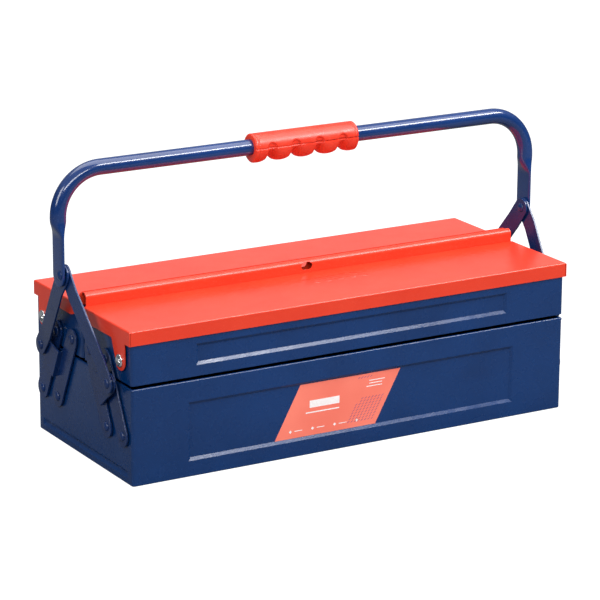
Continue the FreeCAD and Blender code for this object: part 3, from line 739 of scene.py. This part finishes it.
right_half = [section(*step) for step in half_path()]
left_half = [[Vector((-p.x, p.y, p.z)) for p in points] for points in reversed(right_half[:-1])]
rings = right_half + left_half
shape = bmesh.new()
made = [[shape.verts.new(p) for p in ring_points] for ring_points in rings]
for first, second in zip(made, made[1:]):
    for k in range(tube_sides):
        n = (k + 1) % tube_sides
        shape.faces.new((first[k], first[n], second[n], second[k]))
shape.faces.new(made[0])
shape.faces.new(made[-1])
mesh = solid_mesh("swept_handle", shape, 42)
put("swept_handle", mesh, body_of["handle_tube"], handle_paint, ["handle_tube"])
print("handle rings:", len(rings), "of", tube_sides)

# %% [markdown]
# ## Grip
# The grip is moulded plastic with five finger lobes below. Each hollow between two lobes also runs up the
# sides as a small arch. A Boolean with cylinders would leave hard rims, so the radius is worked out for
# every point instead: a round top, lobes below, and arches that fade out where they end.

# %% Grip finish
grip_red, tree, shader, place = new_finish("moulded_red")
cloud = span(tree, noise(tree, place, 45, 3), 0.3, 0.7)
grains = span(tree, noise(tree, place, 1300, 2), 0.55, 0.75, 0, 0.35)
tone = mix(tree, cloud, (0.70, 0.032, 0.012), (0.78, 0.045, 0.017))
tree.links.new(mix(tree, grains, tone, (0.88, 0.12, 0.07)), shader.inputs["Base Color"])
tree.links.new(span(tree, noise(tree, place, 90, 4), 0.3, 0.7, 0.3, 0.42), shader.inputs["Roughness"])
bump(tree, shader, noise(tree, place, 900, 3), 0.035 * MM)
shader.inputs["Subsurface Weight"].default_value = 0.08
shader.inputs["Subsurface Radius"].default_value = (0.004, 0.001, 0.0006)

# %% Grip
grip_low, grip_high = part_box("handle_grip")
grip_half = (grip_high[0] - grip_low[0]) / 2
grip_radius = grip_high[2] - bar_z
lobe = bar_z - grip_low[2]
hollow = 10.6 * MM
lobe_pitch = 27 * MM
lobe_count = 5
lobe_share = 0.43             # half of a lobe's arc, as a share of the pitch
end_share = 0.2               # the end lobes run on at this share, out to the grip's ends
outer_lobe = (lobe_count - 1) / 2 * lobe_pitch
bore = tube_radius + 0.12 * MM
least_wall = 0.4 * MM
arch_half, arch_depth, arch_fade, arch_rise = 5.5 * MM, 1.7 * MM, 1.4 * MM, 0.42
end_round = 1.1 * MM
groove_from_end, groove_width, groove_depth = 3.6 * MM, 0.6 * MM, 0.45 * MM
slit_half, slit_depth, slit_edge = 0.9 * MM, 1.5 * MM, 0.5 * MM


def hollow_share(x):
    """0 under the middle of a lobe, 1 in the hollow between two; each lobe is a round arc."""
    off = abs(x / lobe_pitch - round(x / lobe_pitch))
    if abs(x) > outer_lobe:
        off = min(off, end_share)
    return 1 - math.sqrt(max(0.0, 1 - (off / lobe_share) ** 2))


def grip_reach(x, angle):
    """Distance from the tube's middle to the grip's skin; angle 0 is to the rear, a quarter turn is up."""
    up = math.sin(angle)
    side = math.cos(angle)
    base = grip_radius
    if up < 0:
        below = -up
        full = grip_radius + (lobe - grip_radius) * below ** 1.5
        base = full - (full - hollow) * hollow_share(x) * smooth(below * 1.6)
    nearest = abs(x / lobe_pitch - math.floor(x / lobe_pitch) - 0.5) * lobe_pitch
    if abs(x) < outer_lobe and nearest < arch_half:
        arch_top = arch_rise * math.sqrt(1 - (nearest / arch_half) ** 2)
        within = smooth((arch_top - up) / 0.12) * smooth((arch_half - nearest) / arch_fade)
        base -= arch_depth * within * abs(side)
    end = grip_half - abs(x)
    base -= max(0.0, end_round - end) * 0.9
    base -= groove_depth * math.exp(-((end - groove_from_end) / groove_width) ** 2)
    slit = abs(math.sin(angle)) * base
    if side < 0 and slit < slit_half:
        deeper_to_right = 0.35 + 0.65 * smooth((x + 0.01) / 0.03)
        base -= slit_depth * smooth((slit_half - slit) / slit_edge) * deeper_to_right
    return max(base, bore + least_wall)


def round_the_bar(x, radius, angle):
    return (x, tube_y + radius * math.cos(angle), bar_z + radius * math.sin(angle))


grip_steps, around = 236, 132
by_the_slit = (-0.06, -0.035, -0.012, 0.012, 0.035, 0.06)
stations = [-grip_half + 2 * grip_half * k / grip_steps for k in range(grip_steps + 1)]
angles = [2 * math.pi * k / around for k in range(around)] + [math.pi + turn for turn in by_the_slit]
angles = sorted(set(round(a, 5) for a in angles))
shape = bmesh.new()
outside = [[shape.verts.new(round_the_bar(x, grip_reach(x, a), a)) for a in angles] for x in stations]
inside = [[shape.verts.new(round_the_bar(x, bore, a)) for a in angles] for x in (stations[0], stations[-1])]
count = len(angles)
ends = [(inside[0], outside[0]), (outside[-1], inside[1]), (inside[1], inside[0])]
for first, second in [*zip(outside, outside[1:]), *ends]:
    for k in range(count):
        n = (k + 1) % count
        shape.faces.new((first[k], first[n], second[n], second[k]))
mesh = solid_mesh("moulded_grip", shape, 50)
put("moulded_grip", mesh, body_of["handle_grip"], grip_red, ["handle_grip"])
print("grip faces:", len(mesh.polygons))

# %% [markdown]
# ## Label
# A slanted coral sticker sits in the front panel. The sheet itself comes from the frame and only needs a
# printed-paper finish. The print is plain bars and slanted dashes with no words, many small marks of one
# kind, so a second node tree lays them: each point carries its own size and slant.

# %% Label finish
coral, tree, shader, place = new_finish("coral_sticker")
fade = span(tree, noise(tree, place, 18, 2), 0.3, 0.7)
tree.links.new(mix(tree, fade, (0.9, 0.185, 0.125), (0.96, 0.225, 0.155)), shader.inputs["Base Color"])
tree.links.new(span(tree, noise(tree, place, 120, 3), 0.3, 0.7, 0.3, 0.4), shader.inputs["Roughness"])
bump(tree, shader, noise(tree, place, 300, 2), 0.015 * MM)


def ink(name, colour, thin):
    material, tree, shader, place = new_finish(name)
    patchy = span(tree, noise(tree, place, 500, 3), 0.35, 0.65)
    tree.links.new(mix(tree, patchy, colour, thin), shader.inputs["Base Color"])
    tree.links.new(span(tree, noise(tree, place, 150, 2), 0.3, 0.7, 0.35, 0.45), shader.inputs["Roughness"])
    return material


white_ink = ink("white_ink", (0.95, 0.9, 0.88), (0.9, 0.82, 0.8))
violet_ink = ink("violet_ink", (0.42, 0.09, 0.17), (0.5, 0.12, 0.19))
label = nodes["front_label"]
label.data.materials.clear()
label.data.materials.append(coral)

# %% Print tree
print_tree, given, out = tree_with("printed marks", [("Finish", MATERIAL)])
block = print_tree.nodes.new("GeometryNodeMeshCube")
block.inputs["Size"].default_value = (1, 1, 1)
turn = print_tree.nodes.new("FunctionNodeEulerToRotation")
print_tree.links.new(carried(print_tree, "slant"), turn.inputs["Euler"])
set_on_points(print_tree, given, block.outputs["Mesh"], turn, out, carried(print_tree, "size"))

# %% Printed marks
label_low, label_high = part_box("front_label")
paper_y = label_low[1]
film = 0.04 * MM              # thickness of the ink
sunk = 0.3                    # share of the ink by which its middle stands off the paper
label_height = label_high[2] - label_low[2]
bottom_left = label_low[0]
label_points = [v.co for v in label.data.vertices]
top_left = min(p.x for p in label_points if abs(p.z - label_high[2]) < 0.1 * MM)
shear = top_left - bottom_left
label_width = label_high[0] - label_low[0] - shear


def on_label(across, up):
    """A place on the sticker: shares of its width and height, slanted as the sticker is."""
    x = bottom_left + across * label_width + up * shear
    return (x, paper_y - film * sunk, label_low[2] + up * label_height)


def marks(name, rows, material):
    """rows holds (across, up, length, height, turn) of each mark, lengths in millimetres."""
    places = [on_label(a, u) for a, u, *_ in rows]
    sizes = [(length * MM, film, height * MM) for _, _, length, height, _ in rows]
    slants = [(0, turn_, 0) for *_, turn_ in rows]
    mesh = grow(name, points_mesh(name, places, size=sizes, slant=slants), print_tree, {"Finish": material})
    put(name, mesh, body_of["front_label"], material)
    print(name, len(rows))


white_rows = [(0.34, 0.60, 34, 7.5, 0), (0.36, 0.44, 38, 1.2, 0)]
white_rows += [(0.80, 0.86 - 0.055 * k, 18 - 3 * (k % 2), 0.8, 0) for k in range(3)]
white_rows += [(0.12 + 0.22 * k, 0.13, 2.4, 2.4, math.pi / 4) for k in range(4)]
white_rows += [(0.2 + 0.22 * k, 0.13, 9, 0.7, 0) for k in range(3)]
violet_rows = []
dash = (2.9, 0.75, -0.6)
dash_rows, dash_columns = 9, 9
for row in range(dash_rows):
    for column in range(dash_columns):
        across = 0.70 + 0.034 * column
        up = 0.12 + 0.052 * row
        if across < 0.97 and across - 0.66 > (up - 0.1) * 0.12:
            violet_rows.append((across, up, *dash))
violet_rows += [(0.60 + 0.03 * column, 0.94, *dash) for column in range(5)]
marks("white_print", white_rows, white_ink)
marks("violet_print", violet_rows, violet_ink)
